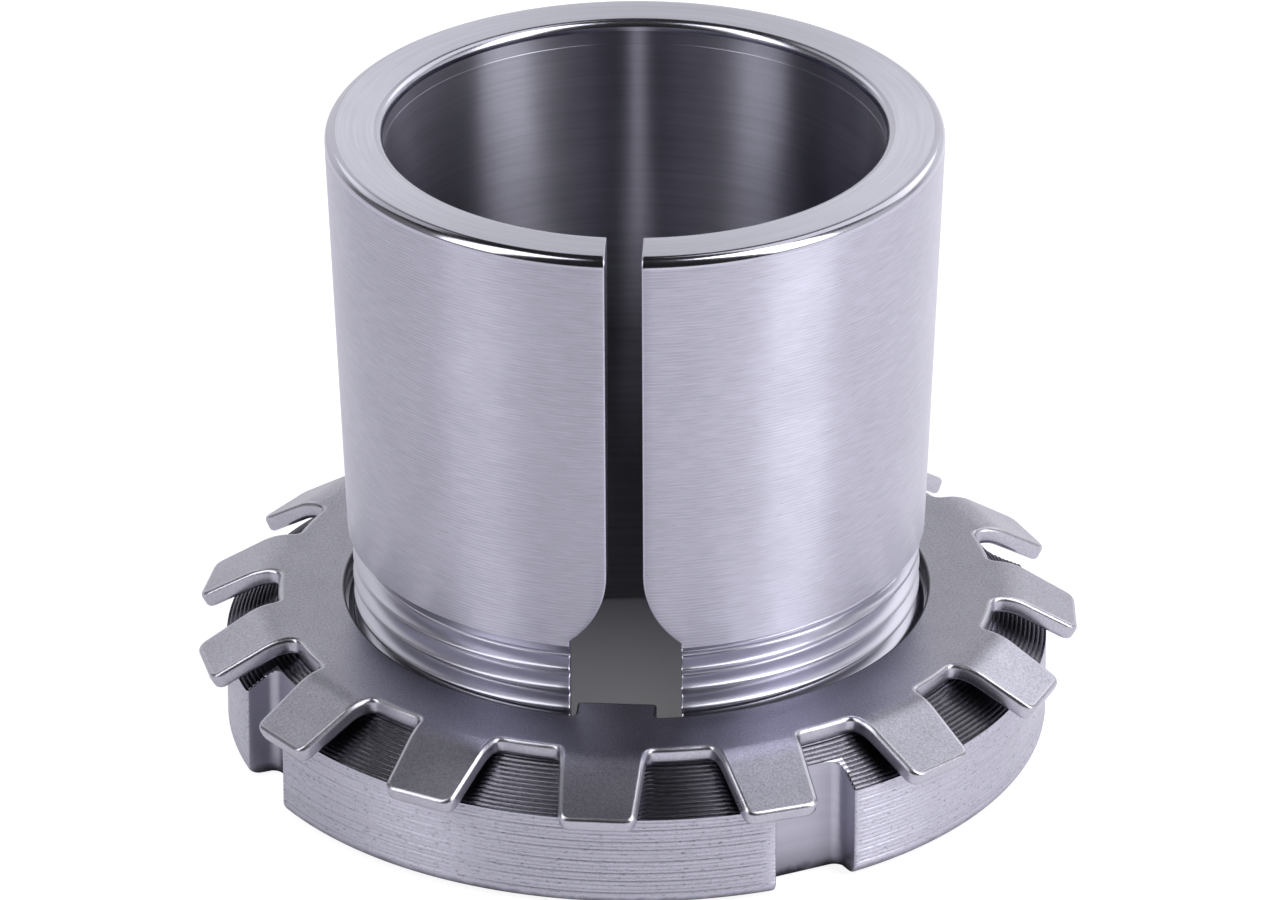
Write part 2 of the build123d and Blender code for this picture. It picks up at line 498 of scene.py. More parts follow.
def nut_outline(radius):
    """Closed outline of the nut where its turned surface has the given radius."""
    half = half_notch(radius)
    edge_end = math.atan2(half[-1][1], half[-1][0])
    step = 2 * math.pi / SPANNER_SLOT_COUNT
    rim = arc((0, 0), radius, edge_end, step - edge_end, RIM_COLUMNS + 1)[1:-1]
    quarter = np.concatenate([(half * [1, -1])[:0:-1], half, rim])
    turns = [SPANNER_SLOT_AZIMUTH + index * 360 / SPANNER_SLOT_COUNT for index in range(SPANNER_SLOT_COUNT)]
    return np.concatenate([turned(quarter, turn) for turn in turns])


def grooves(length, pitch):
    """Distances along a turned surface, and the depth of its grooves there as a share."""
    count = int(length / pitch)
    turns = np.arange(count * GROOVE_STEPS + 1) / GROOVE_STEPS
    depths = (0.5 - 0.5 * np.cos(2 * math.pi * turns)) ** 2
    uneven = 1 - GROOVE_UNEVENNESS + GROOVE_UNEVENNESS * np.sin(turns * GROOVE_BEAT)
    return zip(turns * length / count, depths * uneven)


def nut_profile():
    """Radius, height and material of the rows on the nut's outside, from its lower edge up."""
    centre = NUT_RADIUS - NUT_EDGE_ROUND
    rim_foot = NUT_FOOT + NUT_EDGE_ROUND
    rise = NUT_TOP - NUT_CHAMFER_FOOT
    run = NUT_RADIUS - NUT_FACE_RADIUS
    slant = math.hypot(rise, run)
    profile = []
    for angle in np.linspace(-math.pi / 2, 0, LOWER_EDGE_STEPS + 1)[:-1]:
        radius = centre + NUT_EDGE_ROUND * math.cos(angle)
        profile.append((radius, rim_foot + NUT_EDGE_ROUND * math.sin(angle), LOWER_EDGE))
    for distance, depth in grooves(NUT_CHAMFER_FOOT - rim_foot, RIM_GROOVE_PITCH):
        profile.append((NUT_RADIUS - depth * RIM_GROOVE_DEPTH, rim_foot + distance, RIM))
    for distance, depth in list(grooves(slant, CHAMFER_GROOVE_PITCH))[1:]:
        depth *= CHAMFER_GROOVE_DEPTH
        radius = NUT_RADIUS - (distance * run + depth * rise) / slant
        profile.append((radius, NUT_CHAMFER_FOOT + (distance * rise - depth * run) / slant, CHAMFER))
    return profile


def nut_thread_radius(azimuths, heights):
    """Radius of the nut's bore: thread, and a chamfer at both ends."""
    thread = THREAD_CREST_RADIUS - thread_depth(thread_phase(azimuths, heights)) + NUT_THREAD_PLAY
    from_end = np.minimum(heights - NUT_FOOT, NUT_TOP - heights)
    return np.maximum(np.maximum(thread, NUT_THREAD_RADIUS), NUT_BORE_EDGE - from_end)


def nut_surface():
    """The lock nut: its outside with the spanner slots, two faces, and the thread."""
    surface = Surface()
    profile = nut_profile()
    outlines = [lifted(nut_outline(radius), height) for radius, height, material in profile]
    notch = 2 * len(half_notch(NUT_RADIUS)) - 2
    materials = []
    for radius, height, material in profile[1:]:
        slot = NOTCHES if radius > SPANNER_SLOT_FLOOR else material
        edge = [material] * NOTCH_EDGE_STEPS
        materials.append((edge + [slot] * (notch - 2 * NOTCH_EDGE_STEPS) + edge + [material] * RIM_COLUMNS)
                         * SPANNER_SLOT_COUNT)
    surface.grid(outlines, materials, closed=True)
    azimuths = np.arctan2(outlines[-1][:, 0], -outlines[-1][:, 1])
    for outline in (outlines[0], outlines[-1]):
        inner = lifted(polar(NUT_BORE_EDGE, azimuths), outline[0, 2])
        rings = blended(outline, inner, np.linspace(0, 1, NUT_FACE_STEPS + 1))
        surface.grid(rings, NUT_FACES, closed=True)
    seam = np.sort(azimuths % (2 * math.pi))
    seam = np.append(seam, seam[0] + 2 * math.pi)
    rows = []
    for mid_height in thread_heights(NUT_FOOT - THREAD_PITCH, NUT_TOP + THREAD_PITCH):
        heights = mid_height + THREAD_PITCH * (seam / (2 * math.pi) - 0.5)
        heights = np.clip(heights, NUT_FOOT, NUT_TOP)
        rows.append(lifted(polar(nut_thread_radius(seam, heights), seam), heights))
    surface.grid(rows, NUT_THREAD)
    return surface


# Washer

FACES, OUTER_EDGES, BORE_EDGES = range(3)
TAB_COLUMNS = 8
ARC_STEPS = 4
GAP_COLUMNS = 5
RING_STEPS = 8
EDGE_ROWS = 6
TAB_ROOT_ROW = 0.05
TAB_BEND_ROWS = 9
TAB_PLATE_STEPS = 4
TAB_TIP_LENGTH = 0.6
TAB_TIP_SHARES = (0.35, 0.7, 1.0)
TONGUE_SHARES = (0, 0.25, 0.5, 0.75, 0.9, 1.0)


def corner_line(x, half_width, corner, direction):
    """Rounded end of a tab (direction 1) or the tongue (direction -1), from its right side to its left."""
    y = half_width - corner
    right = arc((x, -y), corner, -math.pi / 2, (direction - 1) * math.pi / 2, ARC_STEPS + 1)
    left = (right * [1, -1])[::-1]
    return np.concatenate([right, between(right[-1], left[0], TAB_COLUMNS), left])


def tab_half_width(reach, inset):
    """Half the width of a tab at a distance from the axis, before bending."""
    taper = (TAB_WIDTH - TAB_TIP_WIDTH) / 2 / (TAB_TIP_REACH - TAB_TIP_CORNER - TAB_BEND_START)
    return TAB_WIDTH / 2 - inset - taper * max(reach - TAB_BEND_START, 0)


def tab_root():
    """Distance from the axis at which a tab's sides leave the rounded gap corners."""
    return math.sqrt((GAP_RADIUS + GAP_CORNER) ** 2 - (TAB_WIDTH / 2 + GAP_CORNER) ** 2)


def tab_grid(inset):
    """Rows of plan points of a flat tab drawn facing +X, from its root to its tip."""
    tip_x = TAB_TIP_REACH - TAB_TIP_CORNER
    tip = corner_line(tip_x, tab_half_width(tip_x, inset), TAB_TIP_CORNER - inset, 1)
    shares = tip[:, 1] / tip[-1, 1]
    bend_length = (TAB_BEND_RADIUS + WASHER_THICKNESS / 2) * math.radians(TAB_BEND_ANGLE + TAB_BEND_SPREAD)
    bend = np.linspace(tab_root() + TAB_ROOT_ROW, TAB_BEND_START + bend_length, TAB_BEND_ROWS)
    plate = np.linspace(bend[-1], tip_x - TAB_TIP_LENGTH, TAB_PLATE_STEPS + 1)[1:]
    rows = [np.stack([np.full(len(tip), reach), shares * tab_half_width(reach, inset)], -1)
            for reach in [tab_root(), *bend, *plate]]
    return np.concatenate([rows, blended(rows[-1], tip, TAB_TIP_SHARES)])


def tongue_root():
    """Distance from the axis at which the tongue's sides leave its rounded root corners."""
    corner_radius = WASHER_BORE_RADIUS - TONGUE_ROOT_CORNER
    return math.sqrt(corner_radius ** 2 - (TONGUE_WIDTH / 2 + TONGUE_ROOT_CORNER) ** 2)


def tongue_grid(inset):
    """Rows of plan points of the tongue drawn facing +X, from its root to its tip."""
    half_width = TONGUE_WIDTH / 2 - inset
    tip = corner_line(TONGUE_TIP_RADIUS + TONGUE_TIP_CORNER, half_width, TONGUE_TIP_CORNER - inset, -1)
    root = np.stack([np.full(len(tip), tongue_root()), tip[:, 1]], -1)
    return blended(root, tip, TONGUE_SHARES)


def fillet(root, width, corner, inset):
    """Centre and radius of the rounded inner corner at a tab's or the tongue's left side."""
    centre = (root, width / 2 + corner)
    return centre, corner + inset


def gap_line(inset):
    """From a tab's left side round the gap corner to the middle of the gap."""
    centre, radius = fillet(tab_root(), TAB_WIDTH, GAP_CORNER, inset)
    inwards = math.atan2(centre[1], centre[0]) - math.pi
    corner = arc(centre, radius, -math.pi / 2, inwards, ARC_STEPS + 1)
    start = math.atan2(corner[-1][1], corner[-1][0])
    floor = arc((0, 0), GAP_RADIUS - inset, start, math.pi / TAB_COUNT, GAP_COLUMNS + 1)
    return np.concatenate([corner, floor[1:]])


def sector_outer(inset):
    """Outer edge of the flat ring in one tab's sector, drawn facing +X, from right to left."""
    gap = gap_line(inset)
    return np.concatenate([(gap * [1, -1])[::-1], tab_grid(inset)[0][1:-1], gap])


def round_edge(grid):
    """Edge of a tab or the tongue, from its root's right end round its tip to its left end."""
    return np.concatenate([grid[:, 0], grid[-1, 1:-1], grid[::-1, -1]])


def tongue_side(inset, end):
    """From the tongue's left side round its root corner and along the bore to an angle."""
    centre, radius = fillet(tongue_root(), TONGUE_WIDTH, TONGUE_ROOT_CORNER, inset)
    outwards = math.atan2(centre[1], centre[0])
    corner = arc(centre, radius, -math.pi / 2, outwards, ARC_STEPS + 1)
    start = math.atan2(corner[-1][1], corner[-1][0])
    bore = arc((0, 0), WASHER_BORE_RADIUS + inset, start, end, GAP_COLUMNS + 1)
    return np.concatenate([corner, bore[1:]])


def sector_inner(inset, tongue_part):
    """Inner edge of the flat ring in one tab's sector, from right to left.

    The tongue's sector has the tongue's root line (0) or all its outline (1) in place of the bore's."""
    outer = sector_outer(inset)
    if tongue_part is None:
        angles = np.arctan2(outer[:, 1], outer[:, 0])
        return (WASHER_BORE_RADIUS + inset) * np.stack([np.cos(angles), np.sin(angles)], -1)
    turn = math.radians(TONGUE_AZIMUTH - TAB_AZIMUTH)
    half_sector = math.pi / TAB_COUNT
    right = (tongue_side(inset, half_sector + turn) * [1, -1])[::-1]
    left = tongue_side(inset, half_sector - turn)
    grid = tongue_grid(inset)
    middle = round_edge(grid)[1:-1] if tongue_part else grid[0][1:-1]
    points = np.concatenate([right, middle, left])
    return turned(points, 90 + math.degrees(turn))


def bent(points, angle):
    """Points of a sector drawn facing +X, with its tab bent down by an angle in degrees."""
    x, y, z = np.moveaxis(points, -1, 0)
    middle = TAB_BEND_RADIUS + WASHER_THICKNESS / 2
    past = np.clip(x - TAB_BEND_START, 0, None)
    turn = np.minimum(past / middle, math.radians(angle))
    straight = past - turn * middle
    new_x = np.minimum(x, TAB_BEND_START) + (middle + z) * np.sin(turn) + straight * np.cos(turn)
    new_z = z - (middle + z) * (1 - np.cos(turn)) - straight * np.sin(turn)
    return np.stack([new_x, y, new_z], -1)


def placed(plan, height, sector):
    """Plan points of a sector at a height above the washer's middle, bent and in place."""
    azimuth = TAB_AZIMUTH + sector * 360 / TAB_COUNT
    angle = TAB_BEND_ANGLE - TAB_BEND_SPREAD * math.cos(math.radians(azimuth))
    points = turned(bent(lifted(plan, height), angle), azimuth)
    return points + [0, 0, WASHER_FOOT + WASHER_THICKNESS / 2]


def washer_edge_profile(radius):
    """Inset and height of the rows round an edge that is rounded by a radius, from top to bottom."""
    half = WASHER_THICKNESS / 2
    profile = [(radius + WASHER_EDGE_FLAT, half)]
    profile += [(radius * (1 - math.sin(angle)), half - radius * (1 - math.cos(angle)))
                for angle in np.linspace(0, math.pi / 2, EDGE_ROWS)]
    return profile + [(inset, -height) for inset, height in profile[::-1]]


def washer_rim_row(inset, height, inside):
    """The washer's whole outer or inner edge at one inset and height."""
    row = []
    for sector in range(TAB_COUNT):
        if inside:
            line = sector_inner(inset, None if sector else 1)
        else:
            gap = gap_line(inset)
            line = np.concatenate([(gap * [1, -1])[::-1], round_edge(tab_grid(inset))[1:-1], gap])
        row.append(placed(line[:-1], height, sector))
    return np.concatenate(row)


def washer_surface():
    """The lock washer: its outer edge, the edge of its bore and tongue, and both faces sector by sector."""
    surface = Surface()
    outer_profile = washer_edge_profile(WASHER_EDGE_ROUND)
    inner_profile = washer_edge_profile(WASHER_BORE_ROUND)
    surface.grid([washer_rim_row(*edge, False) for edge in outer_profile], OUTER_EDGES, closed=True)
    surface.grid([washer_rim_row(*edge, True) for edge in inner_profile], BORE_EDGES, closed=True)
    shares = np.linspace(0, 1, RING_STEPS + 1)
    outer_inset = outer_profile[0][0]
    inner_inset = inner_profile[0][0]
    for height in (WASHER_THICKNESS / 2, -WASHER_THICKNESS / 2):
        for sector in range(TAB_COUNT):
            inner = sector_inner(inner_inset, None if sector else 0)
            ring = blended(inner, sector_outer(outer_inset), shares)
            surface.grid(placed(ring, height, sector), FACES)
            surface.grid(placed(tab_grid(outer_inset), height, sector), FACES)
        turn = TONGUE_AZIMUTH - TAB_AZIMUTH
        surface.grid(placed(turned(tongue_grid(inner_inset), 90 + turn), height, 0), FACES)
    return surface


# Materials

SLEEVE_STEEL = (0.505, 0.50, 0.585)
# Bore: a darker copy of the sleeve steel, painted shade inside the bore
BORE_SHADED_STEEL = (0.45, 0.445, 0.53)
# End faces: a paler copy of the sleeve steel, painted light on the top face
END_LIT_STEEL = (0.65, 0.65, 0.75)
NUT_STEEL = (0.53, 0.525, 0.61)
# Nut chamfer: a much darker copy of the nut steel, painted shade from the washer's tabs over it
CHAMFER_SHADED_STEEL = (0.125, 0.122, 0.145)
# Spanner slots: darker than the nut steel, painted shade in the slots
SLOT_SHADED_STEEL = (0.46, 0.455, 0.53)
WASHER_STEEL = (0.385, 0.38, 0.448)
# Washer edges: paler than its faces, partly wear and partly painted highlight
EDGE_WORN_LIT_STEEL = (0.48, 0.475, 0.54)
# Washer's bore edge: nearly black, painted shadow in the gap between washer and sleeve
WASHER_BORE_SHADED_STEEL = (0.12, 0.12, 0.135)

# Scales are per metre, and heights in millimetres. Each range of noise is stretched to a whole tone.
LINE_RANGE = (0.3, 0.7)
BLOTCH_RANGE = (0.15, 0.85)
BLOTCH_SCALE = 160
SPECKLE_RANGE = (0.25, 0.75)
GRAIN_SCALE = 6500
FEED_SCALE = 90
FEED_RANGE = (0.35, 0.65)
FEED_SHADE = 0.09
FEED_FAINTEST = 0.2
DASH_STRETCH = 5
DASH_HEIGHT = 0.09
DASH_EDGE = (0.80, 0.86)
DASH_TONE = 0.6
# Painted shade at the foot of a surface: noise scale and raggedness of its top line
FOOT_SHADE_SCALE = 900
FOOT_SHADE_RAGGED = 0.9
QUARTER_TURN = 0.25


class Nodes:
    """Short calls for the nodes of one tree."""

    def __init__(self, tree):
        self.tree = tree

    def node(self, kind, inputs=None, **settings):
        """A node with its settings, and its inputs as values or sockets."""
        node = self.tree.nodes.new(kind)
        for key, value in settings.items():
            setattr(node, key, value)
        for key, value in (inputs or {}).items():
            self.feed(node.inputs[key], value)
        return node

    def feed(self, socket, value):
        """Sets or links one input."""
        if isinstance(value, bpy.types.NodeSocket):
            self.tree.links.new(value, socket)
        else:
            socket.default_value = value

    def math(self, operation, first, second=0.0, third=0.0):
        """Result of one calculation."""
        return self.node("ShaderNodeMath", {0: first, 1: second, 2: third}, operation=operation).outputs[0]

    def between(self, value, low, high, start, end, kind="LINEAR"):
        """Value stretched from one range to another, and held there."""
        inputs = {"Value": value, "From Min": low, "From Max": high, "To Min": start, "To Max": end}
        return self.node("ShaderNodeMapRange", inputs, interpolation_type=kind).outputs["Result"]

    def length(self, vector):
        """Length of a vector."""
        return self.node("ShaderNodeVectorMath", {0: vector}, operation="LENGTH").outputs["Value"]


class Steel(Nodes):
    """A metal material with one Principled surface, and short calls for its texture nodes."""

    def __init__(self, name, colour, roughness):
        self.material = bpy.data.materials.new(name)
        self.material.use_nodes = True
        super().__init__(self.material.node_tree)
        self.inputs = self.tree.nodes["Principled BSDF"].inputs
        self.inputs["Base Color"].default_value = (*colour, 1)
        self.inputs["Metallic"].default_value = 1.0
        self.inputs["Roughness"].default_value = roughness
        self.place = self.node("ShaderNodeTexCoord").outputs["Object"]

    def noise(self, place, scale, detail=2.0, roughness=0.5):
        """Noise about 0.5 at a place, with a scale per metre."""
        inputs = {"Vector": place, "Scale": scale, "Detail": detail, "Roughness": roughness}
        return self.node("ShaderNodeTexNoise", inputs).outputs["Fac"]

    def height(self):
        """Height above the origin, in metres."""
        return self.node("ShaderNodeSeparateXYZ", {"Vector": self.place}).outputs["Z"]

    def lines_place(self, stretch):
        """Place for turning lines, which run round the axis. Stretch is their length over their width."""
        parts = self.node("ShaderNodeSeparateXYZ", {"Vector": self.place}).outputs
        flat = self.node("ShaderNodeCombineXYZ", {"X": parts["X"], "Y": parts["Y"]}).outputs[0]
        inputs = {"X": self.math("MULTIPLY", parts["X"], 1 / stretch),
                  "Y": self.math("MULTIPLY", parts["Y"], 1 / stretch),
                  "Z": self.math("ADD", self.length(flat), parts["Z"])}
        return self.node("ShaderNodeCombineXYZ", inputs).outputs[0]

    def bump(self, height, depth, below=None):
        """Bump by a height from 0 to 1 over a depth in millimetres."""
        inputs = {"Height": height, "Distance": depth * MM, "Strength": 1.0}
        if below:
            inputs["Normal"] = below
        return self.node("ShaderNodeBump", inputs).outputs["Normal"]

    def brushed(self, anisotropy):
        """Stretches highlights across the turning lines."""
        self.inputs["Anisotropic"].default_value = anisotropy
        self.inputs["Anisotropic Rotation"].default_value = QUARTER_TURN
        tangent = self.node("ShaderNodeTangent", direction_type="RADIAL", axis="Z")
        self.feed(self.inputs["Tangent"], tangent.outputs[0])

    def feed_lines(self, tone, pitch):
        """Adds the lines that the tool's feed leaves, stronger in some places than in others."""
        wave = self.math("SINE", self.math("MULTIPLY", self.height(), 2 * math.pi / (pitch * MM)))
        places = self.noise(self.place, FEED_SCALE)
        strength = self.between(places, *FEED_RANGE, FEED_FAINTEST * FEED_SHADE, FEED_SHADE)
        return self.math("MULTIPLY_ADD", wave, strength, tone)

    def speckled(self, tone, speckle):
        """Adds pale and dark speckle."""
        spots = self.noise(self.place, GRAIN_SCALE, 2.0, 0.7)
        return self.math("ADD", tone, self.between(spots, *SPECKLE_RANGE, -speckle, speckle))

    def dashed(self, tone, dashes):
        """Darkens short dashes along the turning lines."""
        spots = self.noise(self.lines_place(DASH_STRETCH), 1 / MM / DASH_HEIGHT, 1.0)
        low, high = DASH_EDGE
        return self.math("MULTIPLY", tone, self.between(spots, low - dashes, high - dashes, 1.0, DASH_TONE))

    def painted_foot_shade(self, tone, foot_shade, low, high):
        """Paints shade on the foot, up to a ragged line between two heights in millimetres."""
        raggedness = self.noise(self.place, FOOT_SHADE_SCALE, 3.0)
        ragged = self.math("MULTIPLY_ADD", raggedness, FOOT_SHADE_RAGGED * MM, self.height())
        return self.math("MULTIPLY", tone, self.between(ragged, low * MM, high * MM, foot_shade, 1.0))


def steel(name, colour, roughness, line_pitch=0.15, line_depth=0.002, stretch=80, blotch=0.03, shade=0.04,
          feed_pitch=0.0, dashes=0.0, speckle=0.0, grain=0.0, anisotropy=0.0, foot_shade=1.0,
          foot_shade_heights=(0.75, 1.35)):
    """Steel with turning lines round the axis and blotches, and where wanted feed lines, dark dashes,
    pale and dark speckle, grain, and painted shade at the foot, which ends raggedly between two heights.

    Lengths are in millimetres. Tones and speckle are shares of the colour."""
    shader = Steel(name, colour, roughness)
    lines = shader.noise(shader.lines_place(stretch), 1 / MM / line_pitch, 2.0, 0.6)
    blotches = shader.noise(shader.place, BLOTCH_SCALE, 4.0)
    tone = shader.math("ADD", shader.between(lines, *LINE_RANGE, -shade, shade),
                       shader.between(blotches, *BLOTCH_RANGE, -shade, shade))
    if feed_pitch:
        tone = shader.feed_lines(tone, feed_pitch)
    if speckle:
        tone = shader.speckled(tone, speckle)
    tone = shader.math("ADD", 1.0, tone)
    if dashes:
        tone = shader.dashed(tone, dashes)
    # Painted shade, darker towards the bottom
    if foot_shade < 1:
        tone = shader.painted_foot_shade(tone, foot_shade, *foot_shade_heights)
    scaled = shader.node("ShaderNodeVectorMath", {0: colour, "Scale": tone}, operation="SCALE").outputs[0]
    shader.feed(shader.inputs["Base Color"], scaled)
    rough = shader.between(blotches, *BLOTCH_RANGE, roughness - 2 * blotch, roughness + 2 * blotch)
    shader.feed(shader.inputs["Roughness"], rough)
    normal = shader.bump(lines, line_depth)
    if grain:
        normal = shader.bump(shader.noise(shader.place, GRAIN_SCALE, 3.0), grain, normal)
    shader.feed(shader.inputs["Normal"], normal)
    if anisotropy:
        shader.brushed(anisotropy)
    return shader.material


def sleeve_materials():
    """Materials of the sleeve, in the order of its mesh."""
    return [
        steel("cone_turned", SLEEVE_STEEL, 0.31, line_pitch=0.12, stretch=14, blotch=0.01, shade=0.09,
              feed_pitch=0.24, dashes=0.05, anisotropy=0.97),
        steel("thread_turned", SLEEVE_STEEL, 0.32, line_pitch=0.2, blotch=0.02),
        # Painted shade in the bore: darker colour, and darker still below a ragged line 22 to 31 mm up
        steel("bore_polished_painted_shade", BORE_SHADED_STEEL, 0.31, line_pitch=0.3, line_depth=0.001, stretch=40, blotch=0.01,
              shade=0.08, anisotropy=1.0, foot_shade=0.35, foot_shade_heights=(22, 31)),
        steel("slit_milled", SLEEVE_STEEL, 0.32, line_pitch=0.4, line_depth=0.003, blotch=0.02),
        steel("end_faced_painted_light", END_LIT_STEEL, 0.31, line_pitch=0.2, line_depth=0.003, stretch=40, blotch=0.01,
              shade=0.06, anisotropy=0.6),
        steel("round_polished", SLEEVE_STEEL, 0.15, line_pitch=0.3, line_depth=0.0005, blotch=0.02),
        steel("bore_edge_polished", SLEEVE_STEEL, 0.2, line_pitch=0.3, line_depth=0.0005, blotch=0.02),
    ]


def nut_materials():
    """Materials of the nut, in the order of its mesh."""
    return [
        steel("nut_rim_turned", NUT_STEEL, 0.36, line_pitch=0.12, shade=0.1, dashes=0.17, speckle=0.12,
              grain=0.002, anisotropy=0.8),
        # The chamfer's dark colour is painted shade under the washer's tabs
        steel("nut_chamfer_turned_painted_shade", CHAMFER_SHADED_STEEL, 0.24, line_pitch=0.12, speckle=0.4, grain=0.006),
        # The slots' darker colour and dark foot are painted shade
        steel("nut_slot_milled_painted_shade", SLOT_SHADED_STEEL, 0.4, line_pitch=0.6, line_depth=0.004, grain=0.002,
              foot_shade=0.2),
        steel("nut_face_turned", NUT_STEEL, 0.35, line_pitch=0.3, line_depth=0.004),
        steel("nut_thread_cut", NUT_STEEL, 0.32, line_pitch=0.2),
        # Its dark foot is painted shade where the nut meets the floor
        steel("nut_edge_smooth_shaded_foot", NUT_STEEL, 0.36, line_pitch=0.3, dashes=0.12, speckle=0.1, grain=0.002,
              foot_shade=0.3),
    ]


def washer_materials():
    """Materials of the washer, in the order of its mesh."""
    return [
        steel("washer_tumbled", WASHER_STEEL, 0.33, line_pitch=2.5, line_depth=0.0, stretch=1, blotch=0.03,
              speckle=0.3, grain=0.009),
        steel("washer_edge_worn_and_highlight", EDGE_WORN_LIT_STEEL, 0.3, line_pitch=2.0, line_depth=0.0, stretch=1, speckle=0.15,
              grain=0.005),
        # The bore edge's near-black colour is painted shadow in the gap
        steel("washer_bore_cut_painted_shade", WASHER_BORE_SHADED_STEEL, 0.35, line_pitch=2.0, line_depth=0.0, stretch=1,
              grain=0.004),
    ]


# Floor, world, lamps and camera

def floor():
    """Pale floor that shows white, with painted shade where the bore and the nut stand over it and, in
    reflections, on its left side.
    """
    mesh = bpy.data.meshes.new("floor")
    work = bmesh.new()
    bmesh.ops.create_circle(work, cap_ends=True, segments=FLOOR_SEGMENTS, radius=FLOOR_RADIUS * MM)
    work.to_mesh(mesh)
    work.free()
    material = bpy.data.materials.new("floor_white")
    material.use_nodes = True
    nodes = Nodes(material.node_tree)
    nodes.tree.nodes.clear()
    place = nodes.node("ShaderNodeTexCoord").outputs["Object"]
    from_axis = nodes.length(place)

    def ring(start, end, inner, outer, kind="LINEAR"):
        """Value that changes between two distances from the axis."""
        return nodes.between(from_axis, inner * MM, outer * MM, start, end, kind)

    open_floor = ring(0.0, 1.0, *FLOOR_SEEN_FROM, "SMOOTHSTEP")
    # Painted shade inside the bore: a dim glow, fading towards the bore's wall
    painted_bore_shade = ring(FLOOR_SHADED_GLOW_IN_BORE, FLOOR_SHADED_GLOW_AT_WALL, *FLOOR_SHADED_IN_BORE)
    seen = nodes.math("MAXIMUM", painted_bore_shade, nodes.math("MULTIPLY", open_floor, FLOOR_SEEN))
    across = nodes.node("ShaderNodeSeparateXYZ", {"Vector": place}).outputs["X"]
    reach = FLOOR_LEFT_SHADE_REACH * MM
    # Painted shade in reflections: darker on the left side, round the nut, and most of all just under its
    # edge
    side = nodes.between(across, -reach, reach, FLOOR_LEFT_SHADE, 1.0, "SMOOTHSTEP")
    contact_shade = ring(FLOOR_SHADE, 1.0, NUT_RADIUS, FLOOR_SHADE_REACH, "SMOOTHERSTEP")
    painted_nut_shadow = ring(FLOOR_SHADE_UNDER_NUT, 1.0, *FLOOR_SHADE_UNDER_NUT_REACH, "SMOOTHSTEP")
    mirror_glow = nodes.math("MULTIPLY", nodes.math("MULTIPLY", contact_shade, side), painted_nut_shadow)
    mirror_glow = nodes.math("MULTIPLY", mirror_glow, FLOOR_MIRRORED)
    path = nodes.node("ShaderNodeLightPath").outputs
    mirrored = nodes.math("MAXIMUM", path["Is Glossy Ray"], path["Is Transmission Ray"])
    mirrored = nodes.math("MULTIPLY", mirrored, mirror_glow)
    strength = nodes.math("MULTIPLY_ADD", path["Is Camera Ray"], seen, mirrored)
    glow = nodes.node("ShaderNodeEmission", {"Strength": strength})
    diffuse = nodes.node("ShaderNodeBsdfDiffuse", {"Color": (*FLOOR_TONE, 1)})
    add = nodes.node("ShaderNodeAddShader", {0: diffuse.outputs[0], 1: glow.outputs[0]})
    nodes.node("ShaderNodeOutputMaterial", {"Surface": add.outputs[0]})
    mesh.materials.append(material)
    disc = bpy.data.objects.new("floor", mesh)
    bpy.context.scene.collection.objects.link(disc)


def world():
    """White to the camera. Round the object it is bright behind, paler at the sides, and dark elsewhere."""
    studio = bpy.data.worlds.new("studio")
    bpy.context.scene.world = studio
    studio.use_nodes = True
    nodes = Nodes(studio.node_tree)
    place = nodes.node("ShaderNodeTexCoord").outputs["Generated"]
    parts = nodes.node("ShaderNodeSeparateXYZ", {"Vector": place}).outputs
    behind = nodes.between(parts["Y"], *WORLD_BEHIND_EDGE, 0.0, WORLD_BEHIND - WORLD_DARK, "SMOOTHSTEP")
    low_down = nodes.between(parts["Z"], *WORLD_BEHIND_TOP, 1.0, 0.0, "SMOOTHSTEP")
    side = nodes.between(parts["X"], -WORLD_BEHIND_SIDES, WORLD_BEHIND_SIDES, WORLD_BEHIND_LEFT, 1.0)
    behind = nodes.math("MULTIPLY", nodes.math("MULTIPLY", behind, low_down), side)
    start, full = WORLD_SIDE_EDGE
    right = nodes.between(parts["X"], start, full, 0.0, WORLD_RIGHT, "SMOOTHSTEP")
    left = nodes.between(parts["X"], -full, -start, WORLD_LEFT, 0.0, "SMOOTHSTEP")
    around = nodes.math("MAXIMUM", behind, nodes.math("ADD", left, right))
    light = nodes.math("ADD", WORLD_DARK, around)
    camera_ray = nodes.node("ShaderNodeLightPath").outputs["Is Camera Ray"]
    background = nodes.tree.nodes["Background"]
    nodes.feed(background.inputs["Strength"], nodes.math("MAXIMUM", light, camera_ray))
    nodes.feed(background.inputs["Color"], (1, 1, 1, 1))


def softbox(name, azimuth, elevation, distance, width, height, radiance):
    """Rectangular lamp that faces the object from two angles in degrees. Lengths are in metres."""
    lamp = bpy.data.lights.new(name, "AREA")
    lamp.shape = "RECTANGLE"
    lamp.size = width
    lamp.size_y = height
    lamp.energy = radiance * math.pi * width * height
    turn, rise = math.radians(azimuth), math.radians(elevation)
    back = Vector((math.sin(turn) * math.cos(rise), -math.cos(turn) * math.cos(rise), math.sin(rise)))
    thing = bpy.data.objects.new(name, lamp)
    bpy.context.scene.collection.objects.link(thing)
    thing.location = back * distance + Vector((0, 0, LAMP_AIM_HEIGHT * MM))
    thing.rotation_euler = back.to_track_quat("Z", "Y").to_euler()


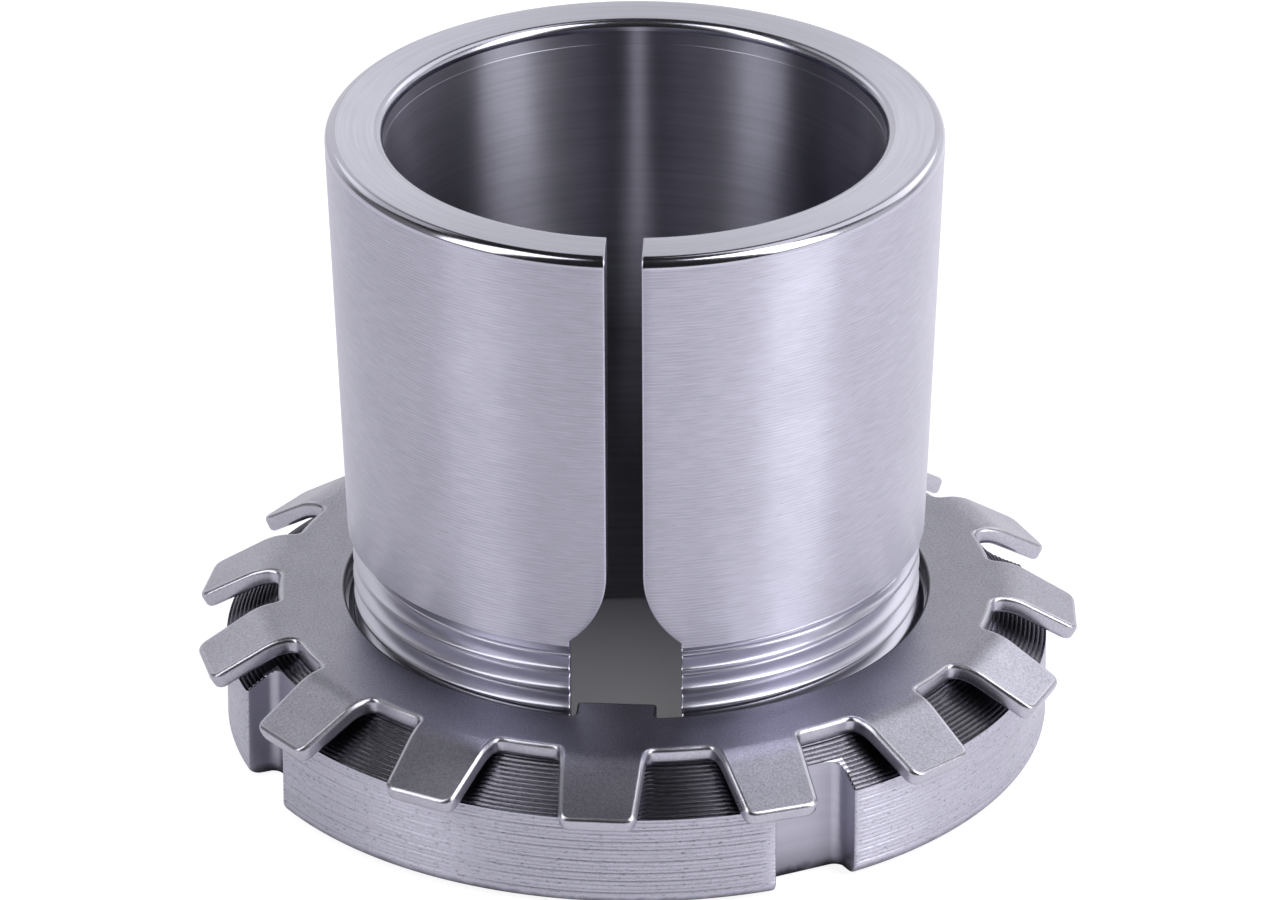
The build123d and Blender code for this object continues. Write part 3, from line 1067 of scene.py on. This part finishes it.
def lamps():
    """Tall soft lamps at the sides in front, and two behind the object's shoulders."""
    softbox("softbox_left", azimuth=-59, elevation=40, distance=0.55, width=0.24, height=0.64,
            radiance=LAMP_LEFT)
    softbox("softbox_right", azimuth=64, elevation=40, distance=0.55, width=0.26, height=0.64,
            radiance=LAMP_RIGHT)
    softbox("softbox_left_back", azimuth=-130, elevation=40, distance=0.45, width=0.24, height=0.26,
            radiance=LAMP_LEFT_BACK)
    softbox("softbox_right_back", azimuth=132, elevation=46, distance=0.45, width=0.28, height=0.44,
            radiance=LAMP_RIGHT_BACK)


def camera():
    """Camera at the photograph's viewing angle."""
    elevation = math.radians(CAMERA_ELEVATION)
    azimuth = math.radians(CAMERA_AZIMUTH)
    roll = math.radians(CAMERA_ROLL)
    level = Vector((math.sin(azimuth), -math.cos(azimuth), 0))
    back = level * math.cos(elevation) + Vector((0, 0, math.sin(elevation)))
    centre = Vector((0, 0, CAMERA_AIM_HEIGHT))
    place = centre + back * CAMERA_DISTANCE
    right = Vector((math.cos(azimuth), math.sin(azimuth), 0))
    up = back.cross(right)
    per_pixel = CAMERA_DISTANCE / FOCAL_PIXELS
    aim = centre + right * (AIM_RIGHT_PIXELS * per_pixel) - up * (AIM_DOWN_PIXELS * per_pixel)
    back = (place - aim).normalized()
    right = (right - back * right.dot(back)).normalized()
    up = back.cross(right)
    right, up = right * math.cos(roll) - up * math.sin(roll), up * math.cos(roll) + right * math.sin(roll)
    data = bpy.data.cameras.new("camera")
    data.sensor_width = SENSOR_WIDTH
    data.lens = FOCAL_PIXELS / IMAGE_WIDTH * SENSOR_WIDTH
    thing = bpy.data.objects.new("camera", data)
    bpy.context.scene.collection.objects.link(thing)
    turn = Matrix((right, up, back)).transposed().to_4x4()
    thing.matrix_world = Matrix.Translation(place * MM) @ turn
    bpy.context.scene.camera = thing


def main():
    """Builds the camera, the studio and the three pieces."""
    camera()
    floor()
    world()
    lamps()
    sleeve = sleeve_surface().mesh("adapter_sleeve_detail", sleeve_materials(), sharp_angle=32)
    add_piece("adapter_sleeve_detail", sleeve, "sleeve", "adapter_sleeve")
    nut = nut_surface().mesh("lock_nut_detail", nut_materials(), sharp_angle=38)
    add_piece("lock_nut_detail", nut, "nut", "lock_nut")
    washer = washer_surface().mesh("lock_washer_detail", washer_materials(), sharp_angle=40)
    add_piece("lock_washer_detail", washer, "washer", "lock_washer")
    bpy.context.scene.view_settings.view_transform = "Standard"


main()
